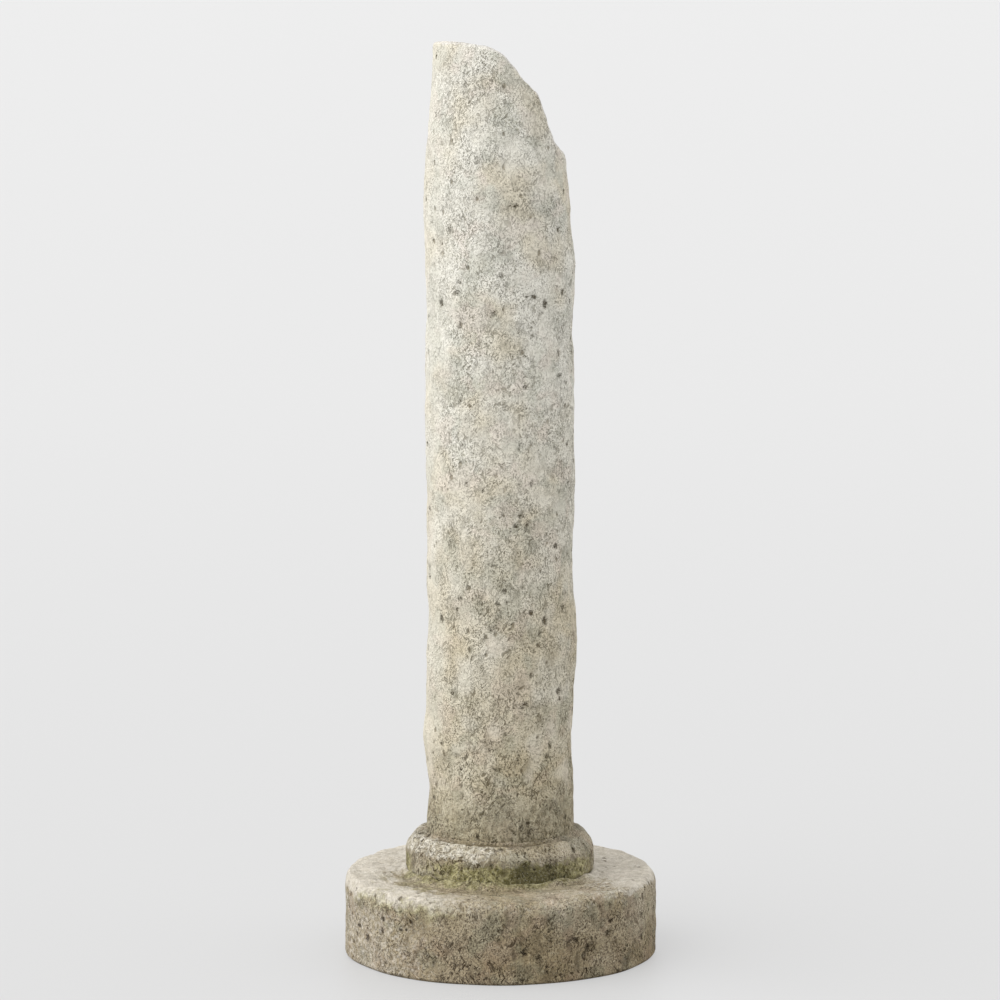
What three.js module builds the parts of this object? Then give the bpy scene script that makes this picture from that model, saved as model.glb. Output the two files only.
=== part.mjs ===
import * as THREE from "three";

// A worn stone column that has lost its top: a plain round shaft on a convex ring (the torus)
// and a low round plinth, three stones stacked flat bed on flat bed.
// Millimetres, +Z up, origin at the middle of the plinth's underside. +X is to the right of a
// viewer who stands at -Y, and bearings turn from +X towards +Y, which is the back.

// Driving sizes
const SHAFT_RADIUS = 180;
const SHAFT_HEIGHT = 1939; // foot to the flat remnant at the top of the break
const TORUS_HEIGHT = 100;
const TORUS_PROJECTION = 51.5; // torus past the shaft
const PLINTH_HEIGHT = 200;
const PLINTH_PROJECTION = 153; // plinth past the torus

// Worn edges
const SHAFT_FOOT_WEAR = 5; // lower edge of the shaft
const RIM_WEAR = 6; // edge between the break and the side
const TORUS_SEAT_MARGIN = 1.5; // gap between the shaft at its widest and the roll round it
const TORUS_SEAT_DEPTH = 5; // the shaft's seat below the crest of the roll
const TORUS_CREST_IN = 30; // crest of the roll, measured inwards from its side
const TORUS_SHOULDER = 50; // height of the roll's outer round
const TORUS_EDGE_WEAR = 16; // lower edge of the torus
const PLINTH_EDGE_IN = 18; // upper edge of the plinth, measured inwards
const PLINTH_EDGE_DOWN = 36; // and downwards
const PLINTH_FOOT_WEAR = 5; // lower edge of the plinth

// Radii that follow from them
const TORUS_RADIUS = SHAFT_RADIUS + TORUS_PROJECTION;
const PLINTH_RADIUS = TORUS_RADIUS + PLINTH_PROJECTION;

// The shoulder under the break is worn thin: shares of the shaft's radius
const SHOULDER_LOSS = 0.115;
const SHOULDER_DEPTH = 1.75;

// The break, in shares of the shaft's radius. Each face lies below the shaft's height by
// fall + right * x + back * y, and the lowest face counts. A remnant of the flat top is left,
// and the split runs down from it to the right and the back. A flake off its right edge ends
// on a ledge, and another is off its back.
const REMNANT = { fall: 0.11, right: 0.12, back: 0.05 };
const SPLIT = { fall: 0.385, right: 1, back: 0.3 };
const RIGHT_FLAKE = { fall: -0.65, right: 3, back: 0.3 };
const LEDGE = { fall: 1.033, right: 0.6, back: 0.3 };
const BACK_FLAKE = { fall: -0.9, right: 0.2, back: 2.4 };
const BREAK_SOFTNESS = 0.06; // how softly one face turns into the next

// Waves on the broken faces: their height, how many radians each of the two crossing waves
// turns in a radius to the right and to the back, and the fall at which they are full size
const RIPPLE = { height: 0.016, first: [7.1, -4.3], second: [3.7, 6.9], full: 0.25 };

// Swellings (+) and hollows (-) of the shaft's outline: bearing in degrees, height as a share
// of the shaft's height, spread up and down and amount as shares of its radius
const SWELLINGS = [
  [180, 0.795, 0.42, 0.024],
  [180, 0.67, 0.3, -0.018],
  [180, 0.61, 0.34, 0.018],
  [180, 0.53, 0.5, 0.009],
  [180, 0.36, 0.42, -0.01],
  [180, 0.282, 0.34, -0.038],
  [180, 0.125, 0.28, 0.04],
  [180, 0.058, 0.26, -0.034],
  [0, 0.812, 0.34, 0.028],
  [0, 0.728, 0.26, 0.022],
  [0, 0.637, 0.34, -0.03],
  [0, 0.55, 0.34, 0.008],
  [0, 0.46, 0.4, 0.014],
  [0, 0.368, 0.34, -0.016],
  [0, 0.255, 0.5, 0.042],
  [0, 0.115, 0.28, -0.022],
  [262, 0.7, 0.4, 0.016],
  [285, 0.33, 0.45, -0.014],
  [85, 0.56, 0.6, -0.02],
  [105, 0.24, 0.6, 0.022],
];
const SWELLING_SPREAD_ROUND = 0.75; // radians

// Slow waves in each stone's side: amount as a share of its radius, lobes round the stone,
// turns of the wave per radius of height, and its start in radians
const SHAFT_WAVES = [
  [0.005, 5, 2.6, 0.4],
  [0.004, 7, -3.4, 2.2],
];
const TORUS_WAVES = [
  [0.006, 5, 2.1, 1.1],
  [0.004, 9, -4.2, 3.9],
];
const PLINTH_WAVES = [
  [0.004, 4, 1.6, 2.0],
  [0.003, 9, -5.1, 0.7],
  [0.002, 15, 7.3, 4.4],
];

// Facets round each stone, steps up the shaft and points on each worn edge
const SHAFT_SIDES = 48;
const SHAFT_STEPS = 57;
const BREAK_RINGS = 6;
const TORUS_SIDES = 60;
const PLINTH_SIDES = 72;
const EDGE_STEPS = 4;
const SHOULDER_STEPS = 6;

const smoothStep = (t) => THREE.MathUtils.smoothstep(t, 0, 1);
const smoothMax = (a, b) => (a + b + Math.hypot(a - b, BREAK_SOFTNESS)) / 2;
const smoothMin = (a, b) => a + b - smoothMax(a, b);

// Sum of slow waves at a bearing and at a height given in radii of the stone.
function wavesAt(waves, bearing, height) {
  return waves.reduce(
    (sum, [amount, lobes, turns, start]) =>
      sum + amount * Math.cos(lobes * bearing + turns * height + start),
    0,
  );
}

// The most that the waves can add, as a share of the stone's radius.
function largest(waves) {
  return waves.reduce((sum, [amount]) => sum + amount, 0);
}

// Sum of the shaft's swellings and hollows: each dies away as a bell curve up and down, and
// as a bell of the bearing, which closes on itself round the shaft.
function swellingAt(bearing, heightShare) {
  const radiiTall = SHAFT_HEIGHT / SHAFT_RADIUS;
  return SWELLINGS.reduce((sum, [degrees, share, spread, amount]) => {
    const along = ((heightShare - share) * radiiTall) / spread;
    const turn = bearing - THREE.MathUtils.degToRad(degrees);
    const round = (1 - Math.cos(turn)) / SWELLING_SPREAD_ROUND ** 2;
    return sum + amount * Math.exp(-along * along - round);
  }, 0);
}

// How far the break lies below the shaft's height, at x and y in radii of the shaft.
function breakFall(x, y) {
  const fallTo = (face) => face.fall + face.right * x + face.back * y;
  const flaked = smoothMin(fallTo(RIGHT_FLAKE), fallTo(LEDGE));
  const fall = [fallTo(SPLIT), flaked, fallTo(BACK_FLAKE)].reduce(
    (lowest, face) => smoothMax(lowest, face),
    fallTo(REMNANT),
  );
  const first = Math.sin(RIPPLE.first[0] * x + RIPPLE.first[1] * y);
  const second = Math.cos(RIPPLE.second[0] * x + RIPPLE.second[1] * y);
  return fall + RIPPLE.height * first * second * smoothStep(fall / RIPPLE.full);
}

// A surface of revolution in which every point is then placed by a function of its radius,
// its bearing and its height. A profile starts and ends on the axis and runs upwards.
function turned(profile, sides, place) {
  const geometry = new THREE.LatheGeometry(profile, sides);
  geometry.rotateX(Math.PI / 2);
  const position = geometry.attributes.position;
  const point = new THREE.Vector3();
  for (let i = 0; i < position.count; i++) {
    point.fromBufferAttribute(position, i);
    const radius = Math.hypot(point.x, point.y);
    const bearing = Math.atan2(point.y, point.x);
    const placed = place(radius, bearing, point.z);
    const [x, y] = [Math.cos(bearing), Math.sin(bearing)];
    position.setXYZ(i, placed.radius * x, placed.radius * y, placed.height);
  }
  geometry.computeVertexNormals();
  return geometry;
}

// The profile of a worn edge: part of an ellipse round a centre, with its reach outwards and
// upwards, from one angle to another and without its first point.
function worn(centre, reach, from, to, steps) {
  const points = [];
  for (let i = 1; i <= steps; i++) {
    const angle = from + ((to - from) * i) / steps;
    const out = reach[0] * Math.cos(angle);
    const up = reach[1] * Math.sin(angle);
    points.push(new THREE.Vector2(centre[0] + out, centre[1] + up));
  }
  return points;
}

// The shaft's profile is in shares: the radius runs from 0 to 1. The height is FOOT on the
// underside, 0 to 1 up the side between its worn edges, and BREAK across the break.
function shaftGeometry() {
  const FOOT = -1;
  const BREAK = 2;
  const profile = [new THREE.Vector2(0, FOOT), new THREE.Vector2(1, FOOT)];
  for (let i = 0; i <= SHAFT_STEPS; i++) {
    profile.push(new THREE.Vector2(1, i / SHAFT_STEPS));
  }
  for (let i = 0; i <= BREAK_RINGS; i++) {
    profile.push(new THREE.Vector2(1 - i / BREAK_RINGS, BREAK));
  }
  const wornRadius = 1 - SHOULDER_LOSS;
  return turned(profile, SHAFT_SIDES, (share, bearing, level) => {
    const [x, y] = [Math.cos(bearing), Math.sin(bearing)];
    const rim = SHAFT_HEIGHT - SHAFT_RADIUS * breakFall(wornRadius * x, wornRadius * y);
    const sideShare = Math.min(level, 1);
    const sideHeight = THREE.MathUtils.lerp(SHAFT_FOOT_WEAR, rim - RIM_WEAR, sideShare);
    const height = level === FOOT ? 0 : sideHeight;
    const thinned = 1 - smoothStep((rim - height) / (SHOULDER_DEPTH * SHAFT_RADIUS));
    const side =
      SHAFT_RADIUS *
      (1 -
        SHOULDER_LOSS * thinned +
        swellingAt(bearing, height / SHAFT_HEIGHT) +
        wavesAt(SHAFT_WAVES, bearing, height / SHAFT_RADIUS));
    if (level === BREAK) {
      const radius = (side - RIM_WEAR) * share;
      const fall = breakFall((radius * x) / SHAFT_RADIUS, (radius * y) / SHAFT_RADIUS);
      return { radius, height: SHAFT_HEIGHT - SHAFT_RADIUS * fall };
    }
    const footLoss = level === FOOT ? SHAFT_FOOT_WEAR : 0;
    return { radius: (side - footLoss) * share, height };
  });
}

function torusGeometry() {
  const widestShaft = SHAFT_RADIUS * (1 + largest(SHAFT_WAVES));
  const seat = widestShaft + TORUS_SEAT_MARGIN;
  const seatHeight = TORUS_HEIGHT - TORUS_SEAT_DEPTH;
  const crest = TORUS_RADIUS - TORUS_CREST_IN;
  const bed = TORUS_RADIUS - TORUS_EDGE_WEAR;
  const lowerRound = [TORUS_EDGE_WEAR, TORUS_EDGE_WEAR];
  const upperRound = [TORUS_CREST_IN, TORUS_SHOULDER];
  const innerRound = [crest - seat, TORUS_SEAT_DEPTH];
  const profile = [
    new THREE.Vector2(0, 0),
    new THREE.Vector2(bed, 0),
    ...worn([bed, TORUS_EDGE_WEAR], lowerRound, -Math.PI / 2, 0, EDGE_STEPS),
    ...worn([crest, TORUS_HEIGHT - TORUS_SHOULDER], upperRound, 0, Math.PI / 2, SHOULDER_STEPS),
    ...worn([crest, seatHeight], innerRound, Math.PI / 2, Math.PI, EDGE_STEPS),
    new THREE.Vector2(0, seatHeight),
  ];
  return turned(profile, TORUS_SIDES, (radius, bearing, height) => {
    const side = smoothStep((radius - seat) / (bed - seat));
    const wave = TORUS_RADIUS * wavesAt(TORUS_WAVES, bearing, height / TORUS_RADIUS);
    return { radius: radius + side * wave, height };
  });
}

function plinthGeometry() {
  const foot = PLINTH_RADIUS - PLINTH_FOOT_WEAR;
  const edge = PLINTH_RADIUS - PLINTH_EDGE_IN;
  const edgeFoot = PLINTH_HEIGHT - PLINTH_EDGE_DOWN;
  const upperRound = [PLINTH_EDGE_IN, PLINTH_EDGE_DOWN];
  const profile = [
    new THREE.Vector2(0, 0),
    new THREE.Vector2(foot, 0),
    new THREE.Vector2(PLINTH_RADIUS, PLINTH_FOOT_WEAR),
    new THREE.Vector2(PLINTH_RADIUS, edgeFoot / 2),
    new THREE.Vector2(PLINTH_RADIUS, edgeFoot),
    ...worn([edge, edgeFoot], upperRound, 0, Math.PI / 2, SHOULDER_STEPS),
    new THREE.Vector2(TORUS_RADIUS, PLINTH_HEIGHT),
    new THREE.Vector2(0, PLINTH_HEIGHT),
  ];
  return turned(profile, PLINTH_SIDES, (radius, bearing, height) => {
    const side = smoothStep((radius - TORUS_RADIUS) / (edge - TORUS_RADIUS));
    const wave = PLINTH_RADIUS * wavesAt(PLINTH_WAVES, bearing, height / PLINTH_RADIUS);
    return { radius: radius + side * wave, height };
  });
}

function stone(name, geometry, colour, roughness, height) {
  const material = new THREE.MeshStandardMaterial({ color: colour, roughness, metalness: 0 });
  const mesh = new THREE.Mesh(geometry, material);
  mesh.name = name;
  mesh.position.z = height;
  return mesh;
}

const shaftFoot = PLINTH_HEIGHT + TORUS_HEIGHT - TORUS_SEAT_DEPTH;
const column = new THREE.Group();
column.add(
  stone("plinth", plinthGeometry(), 0xa79b86, 0.95, 0),
  stone("torus", torusGeometry(), 0xaca386, 0.95, PLINTH_HEIGHT),
  stone("shaft", shaftGeometry(), 0xcbc6b6, 0.92, shaftFoot),
);

export default column;
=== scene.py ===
"""A worn stone column that has lost its top, in its weathered looks: a plain round shaft, broken
off slantwise, on a convex ring and a low round plinth. Metres, +Z up, the front towards -Y."""

import functools
import math

import bpy
import numpy as np
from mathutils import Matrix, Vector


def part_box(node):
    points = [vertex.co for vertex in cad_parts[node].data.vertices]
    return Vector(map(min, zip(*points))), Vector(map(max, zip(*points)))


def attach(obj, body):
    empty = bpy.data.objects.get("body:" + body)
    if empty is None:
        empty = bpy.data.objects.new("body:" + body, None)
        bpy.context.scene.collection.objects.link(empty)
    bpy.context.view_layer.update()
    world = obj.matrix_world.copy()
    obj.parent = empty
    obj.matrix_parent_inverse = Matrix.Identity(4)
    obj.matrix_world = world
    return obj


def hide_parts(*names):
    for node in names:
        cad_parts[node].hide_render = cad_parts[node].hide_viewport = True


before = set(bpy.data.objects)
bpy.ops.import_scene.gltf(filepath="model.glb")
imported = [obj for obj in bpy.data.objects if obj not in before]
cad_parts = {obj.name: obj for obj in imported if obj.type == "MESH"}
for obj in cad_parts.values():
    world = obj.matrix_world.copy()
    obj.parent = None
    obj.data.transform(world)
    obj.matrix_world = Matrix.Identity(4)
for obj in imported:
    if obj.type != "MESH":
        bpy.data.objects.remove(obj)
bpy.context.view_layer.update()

# Sizes of the three stones, as their solids have them
SHAFT_RADIUS = 0.180
SHAFT_HEIGHT = 1.939
TORUS_PROJECTION = 0.0515
PLINTH_PROJECTION = 0.153
SHAFT_FOOT_WEAR = 0.005
RIM_WEAR = 0.006
TORUS_CREST_IN = 0.030
TORUS_SHOULDER = 0.050
TORUS_EDGE_WEAR = 0.016
PLINTH_EDGE_IN = 0.018
PLINTH_EDGE_DOWN = 0.036
PLINTH_FOOT_WEAR = 0.005
TORUS_RADIUS = SHAFT_RADIUS + TORUS_PROJECTION
PLINTH_RADIUS = TORUS_RADIUS + PLINTH_PROJECTION

# Levels, read off the solids
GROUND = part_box("plinth")[0][2]
PLINTH_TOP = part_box("plinth")[1][2]
TORUS_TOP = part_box("torus")[1][2]
SHAFT_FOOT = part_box("shaft")[0][2]

# The shoulder under the break is worn thin: shares of the shaft's radius
SHOULDER_LOSS = 0.115
SHOULDER_DEPTH = 1.75

# The break, in shares of the shaft's radius: fall, then more for each radius to the right
# and to the back
REMNANT = (0.11, 0.12, 0.05)
SPLIT = (0.385, 1.0, 0.3)
RIGHT_FLAKE = (-0.65, 3.0, 0.3)
LEDGE = (1.033, 0.6, 0.3)
BACK_FLAKE = (-0.9, 0.2, 2.4)
BREAK_SOFTNESS = 0.06
RIPPLE_HEIGHT = 0.016
RIPPLE_FIRST = (7.1, -4.3)
RIPPLE_SECOND = (3.7, 6.9)
RIPPLE_FULL = 0.25

# Swellings (+) and hollows (-) of the shaft: bearing in degrees, height as a share of its
# height, spread up and down and amount as shares of its radius
SWELLINGS = (
    (180, 0.795, 0.42, 0.024), (180, 0.67, 0.3, -0.018), (180, 0.61, 0.34, 0.018),
    (180, 0.53, 0.5, 0.009), (180, 0.36, 0.42, -0.01), (180, 0.282, 0.34, -0.038),
    (180, 0.125, 0.28, 0.04), (180, 0.058, 0.26, -0.034), (0, 0.812, 0.34, 0.028),
    (0, 0.728, 0.26, 0.022), (0, 0.637, 0.34, -0.03), (0, 0.55, 0.34, 0.008),
    (0, 0.46, 0.4, 0.014), (0, 0.368, 0.34, -0.016), (0, 0.255, 0.5, 0.042),
    (0, 0.115, 0.28, -0.022), (262, 0.7, 0.4, 0.016), (285, 0.33, 0.45, -0.014),
    (85, 0.56, 0.6, -0.02), (105, 0.24, 0.6, 0.022),
)
SWELLING_SPREAD_ROUND = 0.75

# Slow waves: amount as a share of the radius, lobes round the stone, turns per radius of
# height, and start
SHAFT_WAVES = ((0.005, 5, 2.6, 0.4), (0.004, 7, -3.4, 2.2))
TORUS_WAVES = ((0.006, 5, 2.1, 1.1), (0.004, 9, -4.2, 3.9))
PLINTH_WAVES = ((0.004, 4, 1.6, 2.0), (0.003, 9, -5.1, 0.7), (0.002, 15, 7.3, 4.4))

# Pits seen on the front: bearing in degrees, height, half width and half height in mm, tilt in
# degrees where it leans, and strength
SHAFT_PITS = (
    (-131, 1786, 10, 10, 0.6), (-78, 1846, 7, 4, -20, 0.8), (-82, 1844, 4, 4, 0.5),
    (-38, 1786, 7, 7, 15, 0.9), (-89, 1677, 5, 5, 0.6), (-92, 1655, 4, 4, 0.5),
    (-85, 1656, 4, 4, 0.6), (-89, 1629, 3, 7, 0.5), (-94, 1592, 7, 10, 20, 0.5),
    (-123, 1663, 7, 5, 0.6), (-125, 1635, 5, 8, 0.7), (-143, 1606, 7, 11, 0.9),
    (-64, 1628, 7, 4, 25, 1), (-69, 1630, 4, 4, 0.5), (-53, 1608, 7, 12, 1),
    (-57, 1582, 6, 12, 35, 0.5), (-33, 1636, 8, 10, 0.8), (-123, 1553, 4, 4, 0.6),
    (-108, 1468, 3, 7, 10, 0.4), (-37, 1432, 12, 7, 0.7), (-38, 1487, 8, 7, 0.5),
    (-64, 1536, 4, 7, 0.6), (-65, 1476, 5, 5, 0.5), (-71, 1410, 4, 5, 0.7),
    (-75, 1395, 4, 9, 25, 0.4), (-49, 1302, 6, 7, 0.6), (-133, 1277, 8, 6, 0.5),
    (-123, 1380, 4, 15, 20, 0.6), (-120, 1270, 4, 12, 30, 0.5), (-75, 1267, 3, 12, 20, 0.5),
    (-64, 1180, 4, 10, 10, 0.6), (-75, 1180, 4, 12, 0.5), (-116, 1179, 4, 12, -30, 0.5),
    (-73, 1101, 5, 6, 0.9), (-77, 1079, 7, 4, 10, 0.9), (-67, 1117, 4, 5, 0.6),
    (-69, 1075, 4, 17, 25, 0.7), (-40, 1021, 9, 6, 20, 1), (-133, 1022, 7, 4, 20, 0.6),
    (-103, 1163, 3, 5, 0.5), (-86, 918, 6, 6, 0.8), (-85, 893, 4, 4, 0.8), (-92, 887, 5, 4, 0.8),
    (-96, 829, 8, 10, 20, 0.5), (-122, 900, 7, 5, 0.8), (-127, 870, 6, 8, 0.8),
    (-144, 841, 7, 10, 0.8), (-64, 866, 6, 5, 25, 1), (-70, 865, 4, 4, 0.6), (-53, 843, 6, 11, 1),
    (-57, 817, 6, 12, 35, 0.6), (-33, 871, 8, 10, 0.7), (-31, 903, 10, 6, 0.5),
    (-114, 774, 4, 8, 10, 0.7), (-64, 769, 4, 7, 0.6), (-65, 713, 7, 4, 0.8),
    (-76, 671, 4, 4, 0.7), (-60, 691, 5, 4, 0.6), (-71, 644, 6, 4, 0.9), (-73, 632, 5, 5, 0.6),
    (-130, 665, 8, 7, 0.7), (-128, 647, 6, 5, 0.4), (-37, 664, 10, 9, 0.8), (-36, 645, 8, 6, 0.6),
    (-140, 537, 6, 7, 0.6), (-47, 537, 6, 8, 0.9), (-87, 571, 10, 3, 0.6),
    (-97, 554, 3, 7, 35, 0.6), (-98, 533, 4, 4, 0.6), (-95, 532, 3, 3, 0.6),
    (-94, 482, 4, 5, 0.7), (-123, 480, 4, 4, 0.7), (-77, 505, 3, 15, 25, 0.6),
    (-117, 510, 4, 12, 35, 0.5), (-122, 439, 6, 5, 0.6), (-121, 414, 4, 6, 0.6),
    (-112, 432, 3, 15, -10, 0.5), (-63, 422, 4, 8, 10, 0.7), (-76, 426, 3, 15, 0.5),
    (-68, 351, 5, 7, 0.9), (-74, 338, 5, 5, 0.8), (-66, 331, 4, 10, 15, 0.7),
    (-28, 348, 8, 10, 0.7), (-109, 384, 4, 4, 0.5),
)
PLINTH_PITS = (
    (-137, 135, 8, 5, 0.9), (-153, 99, 8, 4, 0.8), (-138, 107, 7, 8, 0.8), (-147, 77, 9, 10, 0.8),
    (-124, 140, 6, 4, 1), (-121, 153, 4, 4, 0.6), (-128, 118, 5, 3, 0.8), (-126, 120, 5, 3, 0.7),
    (-136, 26, 5, 3, 0.8), (-133, 45, 5, 5, 0.5), (-128, 4, 6, 3, 0.9), (-131, 158, 4, 3, 0.6),
    (-128, 159, 4, 3, 0.6), (-117, 73, 4, 19, 0.5), (-119, 89, 3, 19, 5, 0.5),
    (-46, 136, 8, 5, 1), (-48, 106, 7, 9, 0.9), (-62, 101, 6, 5, 20, 1), (-57, 78, 7, 11, 1),
    (-58, 62, 6, 10, 35, 0.7), (-81, 82, 6, 8, 1), (-72, 130, 5, 5, 0.8),
    (-72, 155, 5, 6, 20, 0.6), (-76, 62, 9, 10, 20, 0.7), (-73, 31, 5, 5, 0.7),
    (-82, 14, 6, 4, 0.7), (-51, 42, 5, 6, 0.6), (-58, 25, 4, 4, 0.7), (-34, 118, 7, 5, 0.5),
    (-64, 103, 4, 5, 0.6),
)
PIT_DEPTH = 0.0030

# Random pits: least and most half width, half height in half widths, and how far from a pit's
# middle points are looked for. Every pit's edge lies a little outside its size.
PIT_HALF_WIDTH = (0.0022, 0.0052)
PIT_STRETCH = (0.8, 1.9)
PIT_SEARCH = 0.024
PIT_MARGIN = 0.0025
PITLESS_FRONT = 62.0  # degrees each side of the front that have only the seen pits
SHAFT_RANDOM_PITS = 170
TORUS_RANDOM_PITS = 36
PLINTH_RANDOM_PITS = 90

# Layers of relief, each with its height, its size and its seed
LUMPS = ((0.0020, 0.085, 1), (0.0014, 0.042, 2), (0.0010, 0.022, 3))
BREAK_ROUGHNESS = ((0.0030, 0.05, 21), (0.0018, 0.02, 22))
TORUS_RAGGED = ((0.10, 0.035, 51), (0.09, 0.012, 52))
FILLET_CRUMBS = ((0.6, 0.030, 54), (0.5, 0.011, 55))
PLINTH_RAGGED = ((0.022, 0.05, 71), (0.014, 0.018, 72))
DENT_DEPTH = 0.0021
BROAD_DENT_DEPTH = 0.0018

# Bearings in degrees: where the moss grows and where it is darkest, where painted light makes the
# stone paler (the lit left of torus and plinth, and the plinth's right front under the column's
# shadow), and where the soil lies
TORUS_MOSS_SIDE = -76.0
TORUS_MOSS_PATCH = 192.0
TORUS_MOSS_DARKEST = 292.0
TORUS_LIT_SIDE = -175.0
PLINTH_SOIL_SIDE = -98.0
PLINTH_MOSS_SIDE = -132.0
PLINTH_LIT_LEFT = -162.0
PLINTH_PALE_RIGHT = -35.0

# Depth of the shallow groove between the torus and the shaft
GROOVE_DEPTH = 0.0012

# Height and reach of the crumbled stone and soil that lie against the shaft's foot
FILLET_RISE = 0.006
FILLET_REACH = 0.018

# How much more the torus's shoulder is worn than its round form, at which share of its height,
# and how far up and down
SHOULDER_WEAR = 0.004
SHOULDER_LEVEL = 0.88
SHOULDER_SPREAD = 0.14

# The line of painted shade and dirt round the shaft's foot, where it meets the torus: how far out
# it lies and its half width
JOINT_OUT = 0.012
JOINT_HALF_WIDTH = 0.0055

# The soil banked up round the torus: its height at the back, what the front has more, its
# reach; and the streaks round it: their depth, their spacing and how many lie along a radian
BANK_HEIGHT = 0.006
BANK_FRONT = 0.010
BANK_REACH = 0.026
STREAK_DEPTH = 0.0012
STREAK_SPACING = 0.010
STREAKS_ROUND = 4.0

# Strokes of the fine relief: shift, turn in degrees, size of a grain in metres, and strength
STROKES = (
    ((0.0, 0.0, 0.0), (0.0, 0.0, 0.0), (0.0033, 0.0033, 0.0092), 0.9),
    ((4.1, 1.3, 2.2), (24.0, 38.0, 10.0), (0.0031, 0.0033, 0.0078), 0.81),
    ((1.7, 6.4, 3.9), (-24.0, -42.0, -12.0), (0.0031, 0.0033, 0.0064), 0.72),
)

# Longer curved strokes that run through the fine ones, given in the same way
LONG_STROKES = (
    ((3.3, 0.9, 7.1), (12.0, 30.0, 0.0), (0.0056, 0.0062, 0.0260), 0.85),
    ((8.7, 5.2, 1.6), (-18.0, -36.0, 0.0), (0.0056, 0.0062, 0.0220), 0.80),
    ((5.5, 7.7, 2.1), (26.0, -12.0, 0.0), (0.0080, 0.0090, 0.0400), 0.60),
)

# Patches of colour in the stone: colour, shift of the pattern, its size in metres, the noise
# at which they start and are full, and strength
PATCHES = (
    ("Beige", (0.0, 0.0, 0.0), 0.150, 0.40, 0.64, 1.0),
    ("Grey", (7.4, 2.9, 0.6), 0.075, 0.50, 0.64, 0.6),
    ("Pink", (3.1, 1.7, 5.2), 0.065, 0.52, 0.66, 0.55),
)

# Sizes in metres of the specks of colour, the crumbs and the grain of the relief, the ragged
# edges of pits, and the fuzz of moss and soil; and cells in a metre, some with a small pit
SPECK_SIZE = 0.0046
CRUMB_SIZE = 0.0059
GRAIN_SIZE = 0.0030
PIT_EDGE_SIZE = 0.0048
FUZZ_SIZE = 0.011
SMALL_PIT_CELLS = 48.0

# Middle height of the fine relief, which is left where the relief is worn away, how deep a pit
# is beside it, and how little the stone shines
RELIEF_MIDDLE = 1.5
PIT_DROP = 1.2
STONE_SHINE = 0.3

# Fineness of the surfaces
SHAFT_COLUMNS = 250
SHAFT_ROWS = 374
BREAK_RINGS = 18
TORUS_COLUMNS = 440
PLINTH_COLUMNS = 640
BASE_SPACING = 0.0036


def rise(low, high, value):
    """0 below low, 1 above high, and an S between them."""
    t = np.clip((value - low) / (high - low), 0.0, 1.0)
    return t * t * (3.0 - 2.0 * t)


def fade(low, high, value):
    """1 below low, 0 above high, and an S between them."""
    return 1.0 - rise(low, high, value)


def bell(away, spread):
    """1 in the middle, falling to nearly 0 at twice the spread away from it."""
    return np.exp(-(away / spread) ** 2)


def smooth_max(a, b):
    """The larger of two falls, rounded where they are close."""
    return (a + b + np.hypot(a - b, BREAK_SOFTNESS)) / 2.0


def smooth_min(a, b):
    """The smaller of two falls, rounded where they are close."""
    return a + b - smooth_max(a, b)


def waves_at(waves, bearing, height):
    """Sum of amount * cos(lobes * bearing + turns * height + start), height in radii."""
    return sum(a * np.cos(lobes * bearing + turns * height + start)
               for a, lobes, turns, start in waves)


def swelling_at(bearing, height_share):
    """Sum of swellings: a bell of the height times a bell of the bearing for each one."""
    radii_tall = SHAFT_HEIGHT / SHAFT_RADIUS
    total = 0.0
    for degrees, share, spread, amount in SWELLINGS:
        along = (height_share - share) * radii_tall / spread
        round_it = (1.0 - facing(bearing, degrees)) / SWELLING_SPREAD_ROUND ** 2
        total = total + amount * np.exp(-along * along - round_it)
    return total


def break_fall(x, y):
    """Depth of the break under the shaft's height, at x and y in radii: the lowest of its
    plane faces, softly joined, plus two crossing waves."""
    def fall_to(face):
        return face[0] + face[1] * x + face[2] * y
    fall = smooth_max(fall_to(REMNANT), fall_to(SPLIT))
    fall = smooth_max(fall, smooth_min(fall_to(RIGHT_FLAKE), fall_to(LEDGE)))
    fall = smooth_max(fall, fall_to(BACK_FLAKE))
    first = np.sin(RIPPLE_FIRST[0] * x + RIPPLE_FIRST[1] * y)
    second = np.cos(RIPPLE_SECOND[0] * x + RIPPLE_SECOND[1] * y)
    return fall + RIPPLE_HEIGHT * first * second * rise(0.0, RIPPLE_FULL, fall)


# The noise's lattice: how many slopes it has, what brings its values to about -1 to 1, and the
# primes that scatter the slopes by corner and seed
GRADIENT_COUNT = 256
NOISE_GAIN = 1.6
CORNER_PRIMES = (73856093, 19349663, 83492791)
SEED_PRIME = 2654435761
MIX_PRIME = 1274126177
_gradients = np.random.default_rng(11).normal(size=(GRADIENT_COUNT, 3))
_gradients /= np.linalg.norm(_gradients, axis=1)[:, None]


def noise(points, size, seed=0):
    """Gradient noise from about -1 to 1: each corner of a cubic lattice of the given size has
    a random slope, and the eight slopes round a point blend by a quintic S in each axis."""
    scaled = points / size
    cell = np.floor(scaled).astype(np.int64)
    part = scaled - cell
    blend = part ** 3 * (part * (part * 6.0 - 15.0) + 10.0)
    total = np.zeros(points.shape[:-1])
    for step in np.ndindex(2, 2, 2):
        corner = (cell + step) * CORNER_PRIMES
        key = np.bitwise_xor.reduce(corner, axis=-1) ^ (seed * SEED_PRIME)
        key = (key ^ (key >> 13)) * MIX_PRIME
        slope = _gradients[(key ^ (key >> 16)) & (GRADIENT_COUNT - 1)]
        value = (slope * (part - step)).sum(-1)
        total += value * np.where(step, blend, 1.0 - blend).prod(-1)
    return total * NOISE_GAIN


def layered(points, layers):
    """Sum of noises, each given by its height, its size and its seed."""
    return sum(height * noise(points, size, seed) for height, size, seed in layers)


def facing(bearing, side):
    """1 where a bearing looks to a side given in degrees, 0 across it and -1 away from it."""
    return np.cos(bearing - math.radians(side))


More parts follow.
